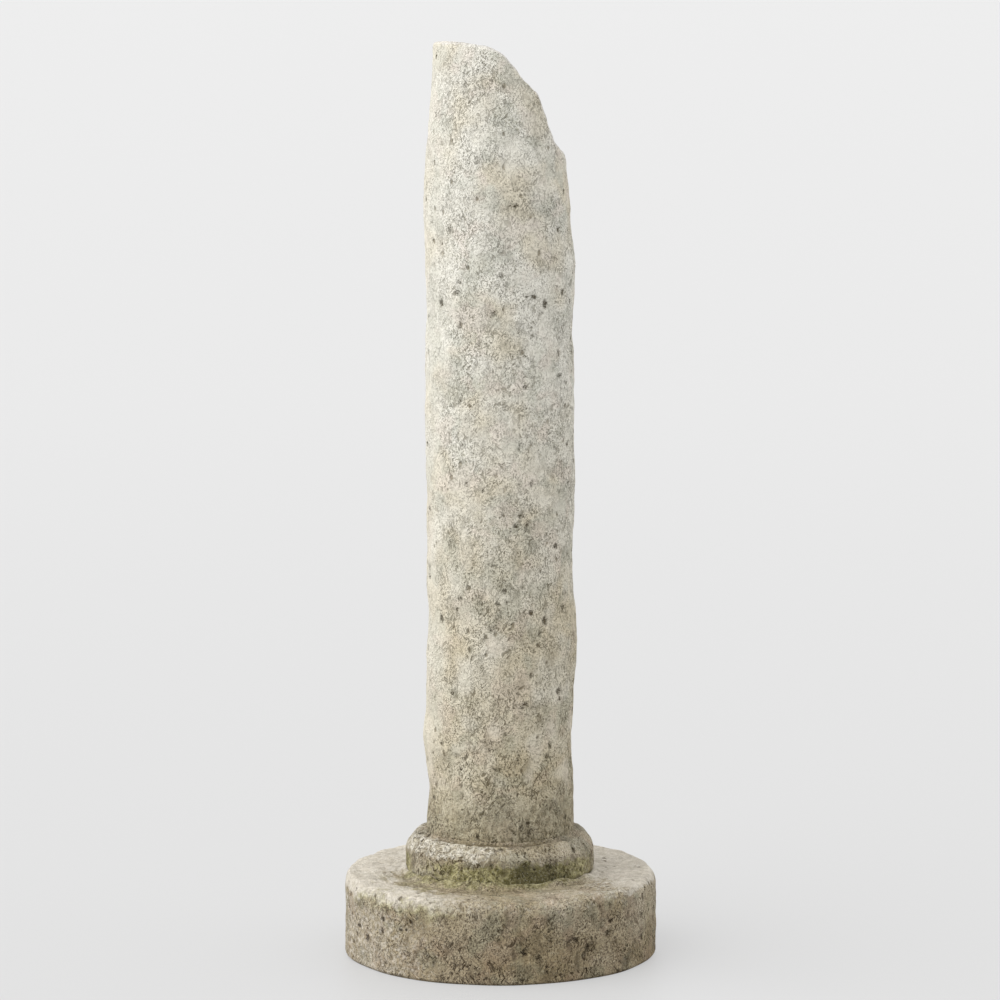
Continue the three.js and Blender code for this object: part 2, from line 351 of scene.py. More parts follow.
def bearing_of(points):
    """The bearing of each point round the axis."""
    return np.arctan2(points[..., 1], points[..., 0])


def spin(radius, height, bearing):
    """Points at a radius, a height and a bearing."""
    return np.stack([radius * np.cos(bearing), radius * np.sin(bearing), height], axis=-1)


def bearings(columns):
    """Evenly spaced bearings round the axis, as one row."""
    return np.linspace(0.0, 2.0 * np.pi, columns, endpoint=False)[None, :]


def grid_normals(points):
    """Outward unit normals of a grid whose rows run up and inwards over a stone and whose
    columns run round it: the cross product of the differences along both."""
    round_it = np.roll(points, -1, axis=1) - np.roll(points, 1, axis=1)
    along = np.gradient(points, axis=0)
    normal = np.cross(round_it, along)
    length = np.linalg.norm(normal, axis=-1, keepdims=True)
    return normal / np.maximum(length, 1e-12)


def lumps(points):
    """Height of the weathered surface over its plain form, and how hollow it is from 0 to 1:
    layers of noise, less upright dents of two sizes where a stretched noise is high."""
    height = layered(points, LUMPS)
    bent = points + 0.006 * np.stack([noise(points, 0.03, s) for s in (4, 5, 6)], axis=-1)
    dent = rise(0.16, 0.62, noise(bent * (1.0, 1.0, 0.5), 0.017, 7))
    dent = dent * rise(-0.35, 0.3, noise(points, 0.06, 8))
    broad = rise(0.10, 0.55, noise(bent * (1.0, 1.0, 0.6), 0.034, 9))
    height = height - DENT_DEPTH * dent - BROAD_DENT_DEPTH * broad
    return height, np.maximum(dent, 0.5 * broad)


def pit_at(points, across, up, centre, half_across, half_up, tilt):
    """How deep in one pit each point lies, from 0 at its edge to 1: the pit is an ellipse in
    the surface, leaning over by its tilt, and as thick through as it is wide."""
    away = points - centre
    sideways = away @ across
    upwards = away @ up
    inwards = away @ np.cross(across, up)
    lean_cos, lean_sin = math.cos(tilt), math.sin(tilt)
    first = (sideways * lean_cos - upwards * lean_sin) / half_across
    second = (sideways * lean_sin + upwards * lean_cos) / half_up
    third = inwards / max(half_across, half_up)
    return np.clip(1.0 - first ** 2 - second ** 2 - third ** 2, 0.0, 1.0)


def add_pits(points, seen, count, seed, allowed):
    """How deep in a pit each point lies, from 0 to 1: pits stand at the seen places, given as
    in the tables, and at random ones among the allowed points, some with two small ones by."""
    random = np.random.default_rng(seed)
    up = np.array([0.0, 0.0, 1.0])
    flat = points.reshape(-1, 3)
    rows = []
    for degrees, height, wide, tall, *lean, strength in seen:
        turn = math.radians(degrees)
        off = np.abs(np.angle(np.exp(1j * (bearing_of(flat) - turn))))
        nearest = np.argmin(off * 0.3 + np.abs(flat[:, 2] - height / 1000.0))
        lean = math.radians(lean[0]) if lean else 0.0
        rows.append((flat[nearest], wide / 1000.0, tall / 1000.0, lean, strength))
    places = points[allowed]
    for place in places[random.integers(0, len(places), count)]:
        wide = random.uniform(*PIT_HALF_WIDTH)
        tall = wide * random.uniform(*PIT_STRETCH)
        lean = random.normal(0.0, 0.35)
        for near in range(1 + int(random.random() < 0.3) * 2):
            spot = place + near * random.normal(0.0, 0.008, 3)
            rows.append((spot, wide / (1 + near), tall / (1 + near), lean,
                         random.uniform(0.5, 1.0)))
    deepest = np.zeros(len(flat))
    for centre, wide, tall, lean, strength in rows:
        close = np.nonzero(np.abs(flat - centre).max(axis=1) < PIT_SEARCH)[0]
        turn = math.atan2(centre[1], centre[0])
        across = np.array([-math.sin(turn), math.cos(turn), 0.0])
        inside = pit_at(flat[close], across, up, centre, wide + PIT_MARGIN,
                        tall + PIT_MARGIN, lean)
        deepest[close] = np.maximum(deepest[close], strength * inside ** 0.7)
    return deepest.reshape(points.shape[:-1])


def add_object(name, data):
    """A new object that carries the data, put in the scene."""
    made = bpy.data.objects.new(name, data)
    bpy.context.scene.collection.objects.link(made)
    return made


def stone_mesh(name, points, first_pole, last_pole, masks):
    """A closed mesh of a grid that wraps round in its columns, with a point that closes the
    first row and one that closes the last. Masks are stored as one value a point."""
    rows, columns = points.shape[:2]
    index = np.arange(rows * columns).reshape(rows, columns)
    right = np.roll(index, -1, axis=1)
    quads = np.stack([index[:-1], right[:-1], right[1:], index[1:]], axis=-1).reshape(-1, 4)
    first, last = rows * columns, rows * columns + 1
    low = np.stack([np.full(columns, first), right[0], index[0]], axis=-1)
    high = np.stack([np.full(columns, last), index[-1], right[-1]], axis=-1)
    vertices = np.concatenate([points.reshape(-1, 3), [first_pole], [last_pole]])
    corners = np.concatenate([quads.ravel(), low.ravel(), high.ravel()])
    sizes = np.concatenate([np.full(len(quads), 4), np.full(2 * columns, 3)])
    mesh = bpy.data.meshes.new(name)
    mesh.vertices.add(len(vertices))
    mesh.vertices.foreach_set("co", vertices.ravel().astype(np.float32))
    mesh.loops.add(len(corners))
    mesh.loops.foreach_set("vertex_index", corners.astype(np.int32))
    mesh.polygons.add(len(sizes))
    starts = np.concatenate([[0], np.cumsum(sizes)[:-1]])
    mesh.polygons.foreach_set("loop_start", starts.astype(np.int32))
    mesh.polygons.foreach_set("use_smooth", np.ones(len(sizes), dtype=bool))
    mesh.update(calc_edges=True)
    for mask_name, values in masks.items():
        attribute = mesh.attributes.new(mask_name, "FLOAT", "POINT")
        padded = np.concatenate([values.ravel(), [values[0].mean(), values[-1].mean()]])
        attribute.data.foreach_set("value", padded.astype(np.float32))
    mesh.validate()
    return add_object(name, mesh)


def finish_piece(piece, node, material):
    """Gives a piece its material, hangs it under the root body, and hides the solid it stands for.
    """
    piece.data.materials.append(material)
    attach(piece, "root")
    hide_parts(node)


def resample(profile, spacing):
    """Points of a profile at even steps of about the spacing along its length."""
    profile = np.asarray(profile)
    steps = np.linalg.norm(np.diff(profile, axis=0), axis=1)
    along = np.concatenate([[0.0], np.cumsum(steps)])
    wanted = np.linspace(0.0, along[-1], int(round(along[-1] / spacing)) + 1)
    return np.stack([np.interp(wanted, along, profile[:, k]) for k in (0, 1)], axis=-1)


def worn_edge(centre, reach, start, end):
    """Part of an ellipse round a centre in the profile's plane, from one angle to another."""
    angle = np.linspace(start, end, 40)
    return np.stack([centre[0] + reach[0] * np.cos(angle),
                     centre[1] + reach[1] * np.sin(angle)], axis=-1)


def turned(profile, columns, waves, foot, stone_radius, wave_start, wave_full):
    """A profile turned round the axis, with the stone's slow waves in its side from one radius
    on and in full from another. Gives the points, and the bearing, radius, height and share
    of the waves at each."""
    profile = resample(profile, BASE_SPACING)
    turn = bearings(columns)
    radius, height = profile[:, :1] + 0.0 * turn, profile[:, 1:] + 0.0 * turn
    side = rise(wave_start, wave_full, radius)
    wave = waves_at(waves, turn, (height - foot) / stone_radius)
    return spin(radius + side * stone_radius * wave, height, turn), turn, radius, height, side


def shaft_surface():
    """The shaft's grid, from the edge of its foot up its side and in across the break. The
    side's rows are stretched between the foot and the break's rim at each bearing."""
    turn = bearings(SHAFT_COLUMNS)
    worn = 1.0 - SHOULDER_LOSS
    rim = SHAFT_HEIGHT - SHAFT_RADIUS * break_fall(worn * np.cos(turn), worn * np.sin(turn))
    share = np.linspace(0.0, 1.0, SHAFT_ROWS)[:, None]
    height = SHAFT_FOOT_WEAR + share * (rim - RIM_WEAR - SHAFT_FOOT_WEAR)
    foot = SHAFT_FOOT_WEAR * np.array([0.0, 0.3, 0.65])[:, None] + 0.0 * turn
    height = np.concatenate([foot, height])
    thinned = fade(0.0, SHOULDER_DEPTH * SHAFT_RADIUS, rim - height)
    radius = SHAFT_RADIUS * (1.0 - SHOULDER_LOSS * thinned
                             + swelling_at(turn, height / SHAFT_HEIGHT)
                             + waves_at(SHAFT_WAVES, turn, height / SHAFT_RADIUS))
    radius[:3] -= SHAFT_FOOT_WEAR * np.array([1.0, 0.45, 0.12])[:, None]
    inwards = np.linspace(1.0, 0.0, BREAK_RINGS, endpoint=False)[:, None]
    top_radius = (radius[-1] - RIM_WEAR) * inwards
    x, y = top_radius * np.cos(turn), top_radius * np.sin(turn)
    top = SHAFT_HEIGHT - SHAFT_RADIUS * break_fall(x / SHAFT_RADIUS, y / SHAFT_RADIUS)
    points = np.concatenate([spin(radius, height, turn), spin(top_radius, top, turn)])
    depth = np.concatenate([rim - height, np.zeros_like(top)])
    return points, depth


def make_shaft(material):
    """The shaft, with its rim rounded by averaging the rows near it, and its relief."""
    points, depth = shaft_surface()
    rows = len(points)
    edge = rows - BREAK_RINGS
    near_rim = bell(np.arange(rows) - edge + 0.5, 1.6)[:, None, None]
    for _ in range(2):
        softened = points.copy()
        softened[1:-1] = (points[:-2] + 2.0 * points[1:-1] + points[2:]) / 4.0
        points = points + near_rim * (softened - points)
    points = points + (0.0, 0.0, SHAFT_FOOT)
    normals = grid_normals(points)
    on_break = (np.arange(rows) >= edge)[:, None] * np.ones((1, SHAFT_COLUMNS))
    raised, dent = lumps(points)
    raised = raised + on_break * layered(points, BREAK_ROUGHNESS)
    above_foot = rise(0.0, 0.02, points[..., 2] - SHAFT_FOOT)
    pits = add_pits(points, SHAFT_PITS, SHAFT_RANDOM_PITS, 31,
                    (above_foot > 0.9) & away_from_front(points))
    points = points + normals * (above_foot * (raised - PIT_DEPTH * pits))[..., None]
    # Masks: chips along the break, painted shade and dirt along the joint and the soil at the
    # foot, and calm smooth skin
    ragged = 0.007 * noise(points, 0.02, 23)
    chipped = fade(0.002, 0.010, depth + ragged)
    height = points[..., 2]
    fringe = 0.010 * noise(points, 0.014, 25)
    # Painted shade and dirt along the joint at the shaft's foot
    joint_dirt_and_shade = fade(0.003, 0.018, height - SHAFT_FOOT + fringe)
    foot = fade(0.02, 0.20, height - SHAFT_FOOT + 0.05 * noise(points, 0.05, 24))
    to_left = facing(bearing_of(points), 180.0)
    calm = 0.9 * rise(0.58, 0.94, to_left + 0.12 * noise(points, 0.06, 27))
    calm = np.maximum(calm, 0.75 * rise(0.0, 0.55, noise(points, 0.055, 26)))
    calm = calm * (1.0 - foot) * (1.0 - on_break)
    masks = {"hollow": dent, "pit": pits, "joint_dirt_and_shade": joint_dirt_and_shade, "soil": foot, "calm": calm,
             "worn": np.maximum(on_break, chipped)}
    foot_pole, break_pole = (0.0, 0.0, SHAFT_FOOT), points[-1].mean(axis=0)
    piece = stone_mesh("weathered_shaft", points, foot_pole, break_pole, masks)
    finish_piece(piece, "shaft", material)


def away_from_front(points):
    """Where the seen pits aren't: all but the middle of the front."""
    return np.abs(np.degrees(bearing_of(points)) + 90.0) > PITLESS_FRONT


def torus_profile():
    """The torus from the edge of its lower bed, over the roll, and in over the shallow groove
    to the shaft's foot. Also gives the radius of the bed."""
    bed = TORUS_RADIUS - TORUS_EDGE_WEAR
    crest = TORUS_RADIUS - TORUS_CREST_IN
    quarter = math.pi / 2
    lower = worn_edge((bed, PLINTH_TOP + TORUS_EDGE_WEAR), (TORUS_EDGE_WEAR,) * 2, -quarter, 0)
    upper = worn_edge((crest, TORUS_TOP - TORUS_SHOULDER), (TORUS_CREST_IN, TORUS_SHOULDER),
                      0, quarter)
    share = np.linspace(0.0, 1.0, 40)
    inner_end = SHAFT_RADIUS - SHAFT_FOOT_WEAR
    radius = crest + share * (inner_end - crest)
    valley = GROOVE_DEPTH * np.sin(math.pi * np.clip(share * 1.25, 0.0, 1.0)) ** 2
    inner = np.stack([radius, TORUS_TOP - valley - 0.0005 * share], axis=-1)
    return np.concatenate([lower, upper, inner[1:]]), bed


def make_torus(material):
    """The convex ring: its profile turned and waved, with its relief, the crumbled stone
    against the shaft's foot, and its masks."""
    profile, bed = torus_profile()
    points, turn, radius, height, side = turned(
        profile, TORUS_COLUMNS, TORUS_WAVES, PLINTH_TOP, TORUS_RADIUS, SHAFT_RADIUS, bed)
    out, above = radius - SHAFT_RADIUS, height - PLINTH_TOP
    normals = grid_normals(points)
    raised, dent = lumps(points)
    free = rise(0.0, 0.012, above)
    free = free * rise(SHAFT_RADIUS + 0.002, SHAFT_RADIUS + 0.012, radius)
    up = above / (TORUS_TOP - PLINTH_TOP)
    flat = SHOULDER_WEAR * bell(up - SHOULDER_LEVEL, SHOULDER_SPREAD) * side
    pits = add_pits(points, (), TORUS_RANDOM_PITS, 41, free > 0.9)
    points = points + normals * (free * (raised - PIT_DEPTH * pits - flat))[..., None]
    crumbly = 0.75 + layered(points, FILLET_CRUMBS)
    crumbs = FILLET_RISE * np.clip(crumbly, 0.0, 1.4) * (up > 0.8)
    points[..., 2] += crumbs * fade(0.0, FILLET_REACH, out)
    # Masks: moss on the lower half, where it is darkest, soil, painted shade and dirt along the
    # joints, and a paler upper roll that is worn and painted lighter on the lit side
    ragged = layered(points, TORUS_RAGGED)
    moss = fade(0.40, 0.74, up + ragged)
    shaded = np.clip(facing(turn, TORUS_MOSS_SIDE), 0.0, 1.0)
    patch = bell(turn - math.radians(TORUS_MOSS_PATCH), 0.12)
    moss = moss * np.clip(0.15 + 0.85 * shaded ** 1.5 + 0.6 * patch, 0.0, 1.0)
    dark = moss * bell(turn - math.radians(TORUS_MOSS_DARKEST), 0.42)
    bank = fade(0.02, 0.16, up + 0.4 * ragged)
    around = 0.55 - 0.45 * np.cos(2.0 * turn + 0.5 * np.sin(3.0 * turn))
    # Painted shade and dirt in the groove by the shaft's foot, strongest at front and back, and
    # along the plinth
    joint_dirt_and_shade = bell(out - JOINT_OUT, JOINT_HALF_WIDTH) * (up > 0.8)
    joint_dirt_and_shade = joint_dirt_and_shade * (0.45 + 0.55 * rise(-0.2, 0.5, noise(points, 0.07, 53))) * around
    joint_dirt_and_shade = np.maximum(joint_dirt_and_shade, 0.3 * fade(0.0, 0.010, above))
    # The upper roll is paler: worn stone, painted lighter towards the side the key light falls on
    worn = rise(0.52, 0.80, up + 0.7 * ragged) * (1.0 - joint_dirt_and_shade)
    worn = worn * rise(0.004, 0.030, out + 0.10 * ragged)
    lit = rise(-0.35, 0.9, facing(turn, TORUS_LIT_SIDE))
    worn = worn * (0.16 + 0.92 * lit)
    masks = {"hollow": dent, "pit": pits, "joint_dirt_and_shade": joint_dirt_and_shade, "moss": moss, "dark": dark,
             "soil": bank, "worn": worn}
    low_pole, high_pole = (0.0, 0.0, PLINTH_TOP), (0.0, 0.0, SHAFT_FOOT)
    piece = stone_mesh("weathered_torus", points, low_pole, high_pole, masks)
    finish_piece(piece, "torus", material)


def plinth_profile():
    """The plinth from the edge of its underside, up its side, over its worn edge and in. Also
    gives the radius at which that edge starts."""
    foot = PLINTH_RADIUS - PLINTH_FOOT_WEAR
    edge = PLINTH_RADIUS - PLINTH_EDGE_IN
    upper = worn_edge((edge, PLINTH_TOP - PLINTH_EDGE_DOWN), (PLINTH_EDGE_IN, PLINTH_EDGE_DOWN),
                      0, math.pi / 2)
    foot_points = [(foot, GROUND), (PLINTH_RADIUS, GROUND + PLINTH_FOOT_WEAR)]
    inner = [(TORUS_RADIUS - 0.04, PLINTH_TOP)]
    return np.concatenate([foot_points, upper, inner]), edge


def make_plinth(material):
    """The round plinth: its profile turned and waved, with its relief, the soil banked up
    round the torus, the streaks round that, and its masks."""
    profile, edge = plinth_profile()
    points, turn, radius, height, _ = turned(
        profile, PLINTH_COLUMNS, PLINTH_WAVES, GROUND, PLINTH_RADIUS, TORUS_RADIUS, edge)
    out, above = radius - TORUS_RADIUS, height - GROUND
    normals = grid_normals(points)
    raised, dent = lumps(points)
    free = rise(0.0, 0.012, above)
    on_top = fade(edge - 0.01, edge + 0.004, radius)
    free = free * rise(-0.002, 0.012, out)
    on_side = rise(edge, PLINTH_RADIUS, radius)
    pits = add_pits(points, PLINTH_PITS, PLINTH_RANDOM_PITS, 61,
                    (free * on_side > 0.9) & away_from_front(points))
    front = rise(0.0, 0.95, facing(turn, PLINTH_SOIL_SIDE))
    streaks = spin(STREAKS_ROUND + 0.0 * radius, radius / STREAK_SPACING, turn)
    streak = rise(0.10, 0.55, noise(streaks, 1.0, 74)) * on_top
    streak = streak * rise(0.0, 0.015, out) * fade(0.05, 0.11, out)
    bank = (BANK_HEIGHT + BANK_FRONT * front) * (1.0 + 0.5 * noise(points, 0.04, 75))
    bank = bank * fade(-0.001, BANK_REACH, out) ** 1.6
    bank = bank * rise(-0.012, -0.001, out)
    raised = free * (raised - PIT_DEPTH * pits) - STREAK_DEPTH * streak
    points = points + normals * raised[..., None]
    points[..., 2] += bank * on_top
    # Masks: soil round the torus, painted shade and dirt along the joint with the ground, paler
    # stone that is worn and painted lighter on the lit left, the right front and along the upper
    # edge, and moss by the torus and under the upper edge
    ragged = layered(points, PLINTH_RAGGED)
    soil = fade(0.010, 0.110, out + 1.6 * ragged)
    soil = 0.85 * soil * (0.1 + 0.9 * front) + 0.5 * streak * (0.35 + 0.65 * front)
    soil = np.clip(soil, 0.0, 1.0) * on_top
    # Painted shade and dirt where the plinth stands on the ground
    joint_dirt_and_shade = fade(0.002, 0.010, above + 0.3 * np.abs(ragged))
    # Paler where worn, and painted light: on the left where the key light falls, on the right
    # front to lighten the column's shadow on the ledge, and along the upper edge as a highlight,
    # less at the front
    worn = rise(0.145, 0.185, above + 1.1 * ragged) * (1.0 - soil)
    right = rise(-0.25, 0.75, facing(turn, PLINTH_PALE_RIGHT))
    left = rise(0.35, 0.95, facing(turn, PLINTH_LIT_LEFT))
    over = rise(-0.026, -0.003, height - PLINTH_TOP + 0.5 * ragged)
    worn = worn * np.maximum(0.12 + 0.75 * left + 0.15 * right, over * (1.0 - 0.75 * front))
    worn = np.maximum(worn, 0.43 * left)
    patch = rise(0.80, 0.96, facing(turn, PLINTH_MOSS_SIDE))
    low_edge = bell(height - PLINTH_TOP + 0.030 + ragged, 0.030)
    mossy = 0.9 * fade(0.0, 0.026, out + 0.5 * ragged) * front * on_top
    masks = {"hollow": np.maximum(dent * free, 0.7 * streak), "pit": pits, "joint_dirt_and_shade": joint_dirt_and_shade,
             "soil": soil, "worn": np.clip(worn, 0.0, 1.0),
             "moss": np.clip(mossy + 0.55 * patch * low_edge, 0.0, 1.0)}
    low_pole, high_pole = (0.0, 0.0, GROUND), (0.0, 0.0, PLINTH_TOP)
    piece = stone_mesh("weathered_plinth", points, low_pole, high_pole, masks)
    finish_piece(piece, "plinth", material)


class Nodes:
    """Places nodes in a tree and links them. Each kind of step gives back its output."""

    def __init__(self, tree):
        self.tree = tree
        self.tree.nodes.clear()

    def put(self, kind, settings=None, **inputs):
        """A node of a kind, with its settings, and its inputs set or linked by name."""
        node = self.tree.nodes.new(kind)
        for key, value in (settings or {}).items():
            setattr(node, key, value)
        for key, value in inputs.items():
            wanted = key.replace("_", " ")
            socket = next(s for s in node.inputs if s.name == wanted and s.enabled)
            self.feed(socket, value)
        return node

    def feed(self, socket, value):
        """Links an output to a socket, or sets the socket to a value."""
        if isinstance(value, bpy.types.NodeSocket):
            self.tree.links.new(value, socket)
        else:
            socket.default_value = value

    def math(self, operation, a, b, clamp=False):
        """One step of arithmetic on values."""
        node = self.put("ShaderNodeMath", {"operation": operation, "use_clamp": clamp})
        self.feed(node.inputs[0], a)
        self.feed(node.inputs[1], b)
        return node.outputs[0]

    # The steps used most; less takes b from a
    times = functools.partialmethod(math, "MULTIPLY")
    plus = functools.partialmethod(math, "ADD")
    less = functools.partialmethod(math, "SUBTRACT")
    most = functools.partialmethod(math, "MAXIMUM")

    def ramp(self, value, low, high, to_low=0.0, to_high=1.0, kind="SMOOTHSTEP"):
        """A value brought from one range to another, and held at its ends."""
        return self.put("ShaderNodeMapRange", {"interpolation_type": kind}, Value=value,
                        From_Min=low, From_Max=high, To_Min=to_low,
                        To_Max=to_high).outputs["Result"]

    def mix(self, amount, a, b, blend="MIX"):
        """Colour a turned into colour b by an amount."""
        node = self.put("ShaderNodeMix", {"data_type": "RGBA", "blend_type": blend})
        for index, value in ((0, amount), (6, a), (7, b)):
            self.feed(node.inputs[index], value)
        return node.outputs[2]

    def noise(self, vector, size, detail=2.0, rough=0.5):
        """A noise value with features of about the size in metres."""
        return self.put("ShaderNodeTexNoise", Vector=vector, Scale=1.0 / size,
                        Detail=detail, Roughness=rough).outputs[0]

    def shifted(self, vector, shift):
        """The same coordinates moved, for a pattern of its own."""
        return self.put("ShaderNodeMapping", Vector=vector, Location=shift).outputs[0]

    def laid(self, vector, shift, turn, size):
        """Coordinates in which one unit is the given size along axes turned by three angles
        in degrees, so that a noise on them has grains of that size and slant."""
        turn = tuple(math.radians(angle) for angle in turn)
        return self.put("ShaderNodeMapping", {"vector_type": "TEXTURE"}, Vector=vector,
                        Location=shift, Rotation=turn, Scale=size).outputs[0]

    def bent(self, vector, size, amount):
        """Coordinates pushed about by a noise of a size, by up to about an amount."""
        push = self.put("ShaderNodeTexNoise", Vector=vector, Scale=1.0 / size,
                        Detail=1.0).outputs[1]
        step = self.put("ShaderNodeVectorMath", {"operation": "MULTIPLY_ADD"}, Vector=push)
        step.inputs[1].default_value = (amount,) * 3
        self.feed(step.inputs[2], vector)
        return step.outputs[0]


def new_group(name, inputs, outputs):
    """An empty node group with a Vector input and more named sockets: (name, kind), and a
    default for some inputs."""
    group = bpy.data.node_groups.new(name, "ShaderNodeTree")
    for socket_name, kind, *default in (("Vector", VECTOR), *inputs):
        socket = group.interface.new_socket(socket_name, in_out="INPUT", socket_type=kind)
        if default:
            socket.default_value = default[0]
    for socket_name, kind in outputs:
        group.interface.new_socket(socket_name, in_out="OUTPUT", socket_type=kind)
    nodes = Nodes(group)
    entry = group.nodes.new("NodeGroupInput")
    leave = group.nodes.new("NodeGroupOutput")
    return group, nodes, entry.outputs, leave.inputs


COLOUR, VALUE, VECTOR = "NodeSocketColor", "NodeSocketFloat", "NodeSocketVector"
MOTTLING = ("Pale", "Beige", "Pink", "Grey", "Speck")


def mottling_group():
    """Soft patches of stone: pale, beige, pinkish and greenish grey, with dark specks in
    places."""
    group, n, given, out = new_group(
        "stone mottling", [(name, COLOUR) for name in MOTTLING], [("Colour", COLOUR)])
    at = n.bent(given["Vector"], 0.05, 0.02)
    colour = given["Pale"]
    for name, shift, size, start, full, strength in PATCHES:
        amount = n.ramp(n.noise(n.shifted(at, shift), size), start, full, 0.0, strength)
        colour = n.mix(amount, colour, given[name])
    place = n.ramp(n.noise(n.shifted(at, (0.3, 5.7, 2.6)), 0.09), 0.42, 0.62, 0.4, 1.0)
    speck = n.noise(n.shifted(given["Vector"], (1.3, 8.8, 4.1)), SPECK_SIZE, 1.0, 0.6)
    speck = n.ramp(speck, 0.57, 0.66, 0.0, 0.75)
    n.feed(out["Colour"], n.mix(n.times(speck, place), colour, given["Speck"]))
    return group


def relief_group():
    """Fine relief of weathered stone: short bent strokes in three slants, longer curved ones
    in some places, crumbs and grain, strong in some places and faint in others. Dark is painted
    shade in the strokes and between the crumbs, and Light is painted highlights on the raised
    crumbs."""
    group, n, given, out = new_group(
        "stone relief", [], [("Dark", VALUE), ("Light", VALUE), ("Height", VALUE)])
    at = given["Vector"]
    bent = n.bent(at, 0.012, 0.006)
    dark = None
    for shift, turn, size, keep in STROKES:
        value = n.noise(n.laid(bent, shift, turn, size), 1.0, 1.0, 0.45)
        mark = n.ramp(value, 0.615, 0.70, 0.0, keep)
        dark = mark if dark is None else n.most(dark, mark)
    place = n.noise(n.shifted(at, (2.0, 7.0, 5.0)), 0.050, 4.0, 0.6)
    place = n.ramp(place, 0.38, 0.62, 0.45, 1.0)
    dark = n.times(dark, place)
    curved = n.bent(n.shifted(at, (6.2, 2.8, 8.4)), 0.045, 0.036)
    some = n.ramp(n.noise(n.shifted(at, (1.9, 4.4, 6.3)), 0.070), 0.42, 0.56)
    for shift, turn, size, keep in LONG_STROKES:
        value = n.noise(n.laid(curved, shift, turn, size), 1.0)
        mark = n.times(n.ramp(value, 0.60, 0.68, 0.0, keep), some)
        dark = n.most(dark, mark)
    crumb = n.noise(n.bent(at, 0.010, 0.004), CRUMB_SIZE, 3.0, 0.70)
    grain = n.noise(at, GRAIN_SIZE, 2.0, 0.65)
    low = n.ramp(crumb, 0.34, 0.47, 0.7, 0.0)
    high = n.ramp(n.plus(n.times(crumb, 0.55), n.times(grain, 0.45)), 0.525, 0.62)
    clear = n.less(1.0, dark)
    height = n.plus(n.times(clear, 0.75), n.times(crumb, 1.1))
    height = n.plus(height, n.times(grain, 0.7))
    n.feed(out["Dark"], n.most(dark, n.times(low, place)))
    high = n.times(high, n.ramp(place, 0.4, 1.0, 0.7, 1.0))
    n.feed(out["Light"], n.times(high, clear))
    n.feed(out["Height"], height)
    return group


def pit_group():
    """Painted shade in pits: dark holes with ragged edges where a mask is high and crumbly small
    ones between, and a halo of painted shade over each pit's dish.
    """
    group, n, given, out = new_group(
        "stone pits", [("Mask", VALUE, 0.0)], [("Pit", VALUE), ("Halo", VALUE)])
    at = given["Vector"]
    ragged = n.less(n.noise(n.bent(at, 0.008, 0.004), PIT_EDGE_SIZE, 2.0, 0.6), 0.5)
    edge = n.plus(given["Mask"], n.times(ragged, 3.0))
    hole = n.times(n.ramp(edge, 0.35, 1.05), n.ramp(given["Mask"], 0.02, 0.3))
    broken = n.noise(n.shifted(at, (5.5, 0.4, 3.3)), 0.0040, 2.0, 0.6)
    hole = n.times(hole, n.ramp(broken, 0.34, 0.54, 0.35, 1.0))
    cells = n.put("ShaderNodeTexVoronoi", {"feature": "F1"}, Scale=SMALL_PIT_CELLS,
                  Vector=n.laid(n.bent(at, 0.012, 0.008), (0.7, 0.2, 0.9), (0, 0, 0), (1, 1, 1.5)))
    near = n.ramp(cells.outputs["Distance"], 0.10, 0.30, 1.0, 0.0)
    pick = n.put("ShaderNodeSeparateColor", Color=cells.outputs["Color"]).outputs[0]
    small = n.times(near, n.ramp(pick, 0.10, 0.22, 0.75, 0.0))
    n.feed(out["Pit"], n.most(hole, small))
    n.feed(out["Halo"], n.ramp(given["Mask"], 0.0, 0.8))
    return group


def patch_group():
    """A mask made ragged by noise, for worn stone, soil and moss, and a colour that varies
    inside it."""
    group, n, given, out = new_group(
        "ragged patch", [("Mask", VALUE, 0.0), ("Dark", COLOUR), ("Light", COLOUR)],
        [("Amount", VALUE), ("Colour", COLOUR)])
    at = n.bent(given["Vector"], 0.02, 0.01)
    fuzz = n.noise(at, FUZZ_SIZE, 3.0, 0.65)
    edge = n.plus(given["Mask"], n.times(n.less(fuzz, 0.5), 1.2))
    n.feed(out["Amount"], n.ramp(edge, 0.18, 0.80))
    inner = n.ramp(n.noise(n.shifted(at, (4.0, 1.0, 2.0)), 0.013, 3.0, 0.6), 0.36, 0.64)
    n.feed(out["Colour"], n.mix(inner, given["Dark"], given["Light"]))
    return group


def stain_group():
    """How stained a place is, from a height up to another, with a cloudy edge."""
    group, n, given, out = new_group(
        "ground stain", [("From", VALUE, 0.0), ("To", VALUE, 1.0)], [("Amount", VALUE)])
    at = given["Vector"]
    height = n.put("ShaderNodeSeparateXYZ", Vector=at).outputs["Z"]
    cloud = n.less(n.noise(n.shifted(at, (9.1, 3.3, 2.2)), 0.20, 3.0, 0.55), 0.5)
    level = n.plus(height, n.times(cloud, 0.5))
    n.feed(out["Amount"], n.ramp(level, given["From"], given["To"], 1.0, 0.0, "LINEAR"))
    return group


